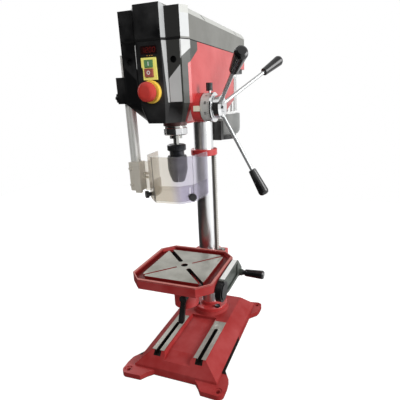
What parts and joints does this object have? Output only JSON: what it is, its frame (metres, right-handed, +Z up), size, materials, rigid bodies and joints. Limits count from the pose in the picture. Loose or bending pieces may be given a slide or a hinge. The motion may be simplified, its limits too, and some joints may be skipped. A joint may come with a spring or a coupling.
{
  "type": "benchtop drill press",
  "caption": "Bench drill press on a slotted cast base, with round column, geared lift table, belt drive head, capstan feed and swinging chuck guard.",
  "frame": {"origin": "middle of the four foot holes, on the underside of the base", "axes": "+Z up, +X to the operator's right, +Y from the operator to the back"},
  "size_m": [0.4076, 0.6198, 0.962],
  "materials": {
    "red_paint": "satin",
    "ground_iron": "satin",
    "grey_paint": "satin",
    "black_plastic": "satin",
    "dark_grey_plastic": "satin",
    "light_plastic": "satin",
    "steel": "satin",
    "chrome": "polished",
    "dark_steel": "satin",
    "aluminium": "satin",
    "rubber": "matte",
    "window": "gloss",
    "yellow_plastic": "satin",
    "green_plastic": "gloss",
    "red_plastic": "gloss",
    "clear_plastic": "gloss"
  },
  "bodies": {
    "frame": {"base_casting": "red_paint", "column_flange": "red_paint", "fixings": "steel", "column_tube": "steel", "rack_collar": "red_paint", "head_casting": "red_paint", "front_console": "black_plastic", "console_bezels": "dark_grey_plastic", "console_trims": "light_plastic", "cover_hinge": "steel", "display_window": "window", "switch_plate": "yellow_plastic", "estop_base": "yellow_plastic", "depth_pointer": "light_plastic", "drive_belts": "rubber", "motor_plate": "grey_paint", "motor_body": "aluminium", "motor_bell": "grey_paint", "motor_vent_cap": "black_plastic", "capacitor_box": "black_plastic", "guard_bracket": "black_plastic"},
    "rack": {"column_rack": "steel"},
    "table": {"work_table": "ground_iron", "table_carrier": "red_paint"},
    "table_lock": {"table_lock_lever": "black_plastic"},
    "column_clamp": {"column_clamp_lever": "black_plastic"},
    "lift_shaft_body": {"lift_shaft": "steel"},
    "crank": {"table_crank": "aluminium"},
    "grip": {"crank_grip": "black_plastic"},
    "cover": {"belt_cover": "grey_paint", "cover_front": "black_plastic"},
    "motor_drive": {"motor_pulley": "aluminium"},
    "idler": {"idler_pulley": "aluminium"},
    "spindle_drive": {"spindle_pulley": "aluminium"},
    "quill_body": {"quill": "steel", "quill_ring": "chrome"},
    "spindle_body": {"spindle": "steel", "chuck_body": "chrome"},
    "chuck_sleeve_body": {"chuck_sleeve": "dark_steel"},
    "jaw_1": {"chuck_jaw_1": "chrome"},
    "jaw_2": {"chuck_jaw_2": "chrome"},
    "jaw_3": {"chuck_jaw_3": "chrome"},
    "feed": {"feed_shaft": "steel", "feed_hub": "chrome", "feed_spokes": "chrome", "feed_knobs": "black_plastic"},
    "depth_ring_body": {"depth_ring": "aluminium"},
    "depth_ring_lock": {"depth_ring_screw": "black_plastic"},
    "start": {"start_button": "green_plastic"},
    "stop": {"stop_button": "red_plastic"},
    "estop_slide_body": {"estop_stem": "black_plastic"},
    "estop_head": {"estop_button": "red_plastic"},
    "guard_turn": {"guard_sleeve": "black_plastic"},
    "guard_arm": {"guard_post": "aluminium", "guard_clamp": "black_plastic", "guard_shell": "clear_plastic"},
    "guard_lower": {"guard_slider": "clear_plastic"},
    "guard_screw_l": {"guard_screw_left": "black_plastic"},
    "guard_screw_r": {"guard_screw_right": "black_plastic"},
    "guard_knob": {"guard_height_knob": "black_plastic"}
  },
  "joints": [
    {"name": "table_swing", "type": "hinge", "parent": "frame", "child": "rack", "pos_m": [0, 0.103, 0.3], "axis": [0, 0, 1], "range_deg": [-180, 180]},
    {"name": "table_lift", "type": "slide", "parent": "rack", "child": "table", "axis": [0, 0, 1], "range_m": [-0.075, 0.16]},
    {"name": "lift_shaft_turn", "type": "hinge", "parent": "table", "child": "lift_shaft_body", "pos_m": [0.0486, 0, 0.276], "axis": [0, 1, 0], "range_deg": [-800, 400]},
    {"name": "crank_turn", "type": "hinge", "parent": "table", "child": "crank", "pos_m": [0.1, -0.143, 0.276], "axis": [1, 0, 0], "range_deg": [-400, 800]},
    {"name": "crank_grip_spin", "type": "hinge", "parent": "crank", "child": "grip", "pos_m": [0.157, 0.00302, 0.26194], "axis": [1, 0, 0], "continuous": true},
    {"name": "table_lock", "type": "hinge", "parent": "table", "child": "table_lock", "pos_m": [0.01368, -0.132, 0.228], "axis": [0, 1, 0], "range_deg": [-40, 90]},
    {"name": "column_clamp", "type": "hinge", "parent": "table", "child": "column_clamp", "pos_m": [-0.02, 0.158, 0.232], "axis": [1, 0, 0], "range_deg": [-10, 90]},
    {"name": "cover_hinge", "type": "hinge", "parent": "frame", "child": "cover", "pos_m": [-0.092, 0, 0.889], "axis": [0, -1, 0], "range_deg": [0, 85]},
    {"name": "motor_spin", "type": "hinge", "parent": "frame", "child": "motor_drive", "pos_m": [0, 0.233, 0.9], "axis": [0, 0, 1], "continuous": true},
    {"name": "idler_spin", "type": "hinge", "parent": "frame", "child": "idler", "pos_m": [0, 0.063, 0.9], "axis": [0, 0, 1], "continuous": true},
    {"name": "spindle_pulley_spin", "type": "hinge", "parent": "frame", "child": "spindle_drive", "pos_m": [0, -0.087, 0.9], "axis": [0, 0, 1], "continuous": true},
    {"name": "quill_feed", "type": "slide", "parent": "frame", "child": "quill_body", "axis": [0, 0, -1], "range_m": [0, 0.08]},
    {"name": "spindle_spin", "type": "hinge", "parent": "quill_body", "child": "spindle_body", "pos_m": [0, -0.087, 0.7], "axis": [0, 0, 1], "continuous": true},
    {"name": "chuck_turn", "type": "hinge", "parent": "spindle_body", "child": "chuck_sleeve_body", "pos_m": [0, -0.087, 0.6], "axis": [0, 0, 1], "range_deg": [0, 1800]},
    {"name": "jaw_1_slide", "type": "slide", "parent": "spindle_body", "child": "jaw_1", "axis": [0.2095, 0.121, 0.9703], "range_m": [0, 0.023]},
    {"name": "jaw_2_slide", "type": "slide", "parent": "spindle_body", "child": "jaw_2", "axis": [-0.2095, 0.121, 0.9703], "range_m": [0, 0.023]},
    {"name": "jaw_3_slide", "type": "slide", "parent": "spindle_body", "child": "jaw_3", "axis": [0, -0.2419, 0.9703], "range_m": [0, 0.023]},
    {"name": "feed_turn", "type": "hinge", "parent": "frame", "child": "feed", "pos_m": [0.11, -0.127, 0.7476], "axis": [-1, 0, 0], "range_deg": [0, 327.4], "stiffness_Nm_per_rad": 0.3, "springref_deg": -171.89},
    {"name": "depth_ring_turn", "type": "hinge", "parent": "feed", "child": "depth_ring_body", "pos_m": [0.105, -0.127, 0.7476], "axis": [-1, 0, 0], "range_deg": [0, 330]},
    {"name": "depth_ring_screw_turn", "type": "hinge", "parent": "depth_ring_body", "child": "depth_ring_lock", "pos_m": [0.113, -0.127, 0.7776], "axis": [0, 0, 1], "range_deg": [0, 720]},
    {"name": "start_press", "type": "slide", "parent": "frame", "child": "start", "axis": [0, 1, 0], "range_m": [0, 0.0025], "stiffness_N_per_m": 400},
    {"name": "stop_press", "type": "slide", "parent": "frame", "child": "stop", "axis": [0, 1, 0], "range_m": [0, 0.0025], "stiffness_N_per_m": 400},
    {"name": "estop_press", "type": "slide", "parent": "frame", "child": "estop_slide_body", "axis": [0, 1, 0], "range_m": [0, 0.004]},
    {"name": "estop_twist", "type": "hinge", "parent": "estop_slide_body", "child": "estop_head", "pos_m": [0, -0.212, 0.7856], "axis": [0, -1, 0], "range_deg": [-30, 0], "stiffness_Nm_per_rad": 0.05},
    {"name": "guard_swing", "type": "hinge", "parent": "frame", "child": "guard_turn", "pos_m": [-0.1, -0.129, 0.79], "axis": [0, 0, 1], "range_deg": [-110, 0]},
    {"name": "guard_height", "type": "slide", "parent": "guard_turn", "child": "guard_arm", "axis": [0, 0, 1], "range_m": [-0.04, 0.012]},
    {"name": "guard_lower_slide", "type": "slide", "parent": "guard_arm", "child": "guard_lower", "axis": [0, 0, -1], "range_m": [0, 0.02]},
    {"name": "guard_screw_l_turn", "type": "hinge", "parent": "guard_arm", "child": "guard_screw_l", "pos_m": [-0.057, -0.1395, 0.533], "axis": [-0.7311, -0.6823, 0], "range_deg": [0, 720]},
    {"name": "guard_screw_r_turn", "type": "hinge", "parent": "guard_arm", "child": "guard_screw_r", "pos_m": [0.057, -0.1395, 0.533], "axis": [0.7311, -0.6823, 0], "range_deg": [0, 720]},
    {"name": "guard_knob_turn", "type": "hinge", "parent": "frame", "child": "guard_knob", "pos_m": [-0.12, -0.129, 0.775], "axis": [1, 0, 0], "range_deg": [0, 720]}
  ],
  "couplings": [
    {"joint": "lift_shaft_turn", "follows": "table_lift", "rad_per_m": -83.333},
    {"joint": "crank_turn", "follows": "table_lift", "rad_per_m": 83.333},
    {"joint": "idler_spin", "follows": "motor_spin", "ratio": 0.50658},
    {"joint": "spindle_pulley_spin", "follows": "motor_spin", "ratio": 0.25662},
    {"joint": "spindle_spin", "follows": "motor_spin", "ratio": 0.25662},
    {"joint": "quill_feed", "follows": "feed_turn", "m_per_rad": 0.014},
    {"joint": "jaw_1_slide", "follows": "chuck_turn", "m_per_rad": 0.00073211},
    {"joint": "jaw_2_slide", "follows": "chuck_turn", "m_per_rad": 0.00073211},
    {"joint": "jaw_3_slide", "follows": "chuck_turn", "m_per_rad": 0.00073211}
  ]
}
